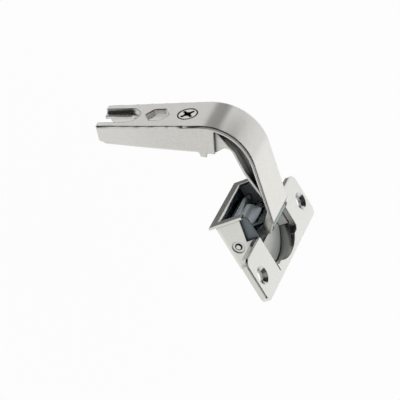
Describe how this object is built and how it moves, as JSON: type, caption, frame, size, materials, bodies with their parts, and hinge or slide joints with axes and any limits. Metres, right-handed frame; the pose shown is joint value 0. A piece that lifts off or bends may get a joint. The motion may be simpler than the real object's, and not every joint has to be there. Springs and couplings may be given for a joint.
{
  "type": "concealed cup hinge",
  "caption": "Concealed cup hinge with a cranked die-cast arm, a half flange plate on the cup and two link levers.",
  "frame": {"origin": "centre of the Ø35 cup bore on the door's back face, which is the underside of the flange plate", "axes": "+Z out of the door's back face, +Y along the pivot pins, +X from the cup towards the flange's front edge"},
  "size_m": [0.0752, 0.0588, 0.0501],
  "materials": {
    "cup_nickel": "nickel plated, satin",
    "arm_nickel": "nickel plated, fine satin",
    "carrier_steel": "nickel plated, rolled",
    "link_steel": "nickel plated, rolled",
    "pin_steel": "ground and plated",
    "spring_steel": "drawn wire",
    "screw_steel": "nickel plated"
  },
  "bodies": {
    "door_cup": {"cup": "cup_nickel", "pin_carrier": "carrier_steel", "cup_outer_pin": "pin_steel", "cup_inner_pin": "pin_steel", "spring_near": "spring_steel", "spring_far": "spring_steel"},
    "outer_lever": {"outer_link": "link_steel"},
    "inner_lever": {"inner_link": "link_steel"},
    "hinge_arm": {"arm": "arm_nickel", "arm_outer_pin": "pin_steel", "arm_inner_pin": "pin_steel"},
    "adjuster": {"side_adjusting_screw": "screw_steel"}
  },
  "joints": [
    {"name": "outer_lever_swing", "type": "hinge", "parent": "door_cup", "child": "outer_lever", "pos_m": [0.0005, 0, -0.006], "axis": [0, -1, 0], "range_deg": [-54.6, 15.6]},
    {"name": "arm_swing", "type": "hinge", "parent": "outer_lever", "child": "hinge_arm", "pos_m": [0.0001, 0, 0.0039], "axis": [0, -1, 0], "range_deg": [-15.45, 4.45]},
    {"name": "inner_lever_swing", "type": "hinge", "parent": "door_cup", "child": "inner_lever", "pos_m": [-0.0046, 0, -0.0081], "axis": [0, -1, 0], "range_deg": [-15.8, 4.55]},
    {"name": "adjuster_turn", "type": "hinge", "parent": "hinge_arm", "child": "adjuster", "pos_m": [-0.04698, 0, -0.00414], "axis": [-0.9421, 0, 0.3355], "continuous": true}
  ],
  "couplings": [
    {"joint": "arm_swing", "follows": "outer_lever_swing", "ratio": 0.28205},
    {"joint": "inner_lever_swing", "follows": "outer_lever_swing", "ratio": 0.28846}
  ]
}
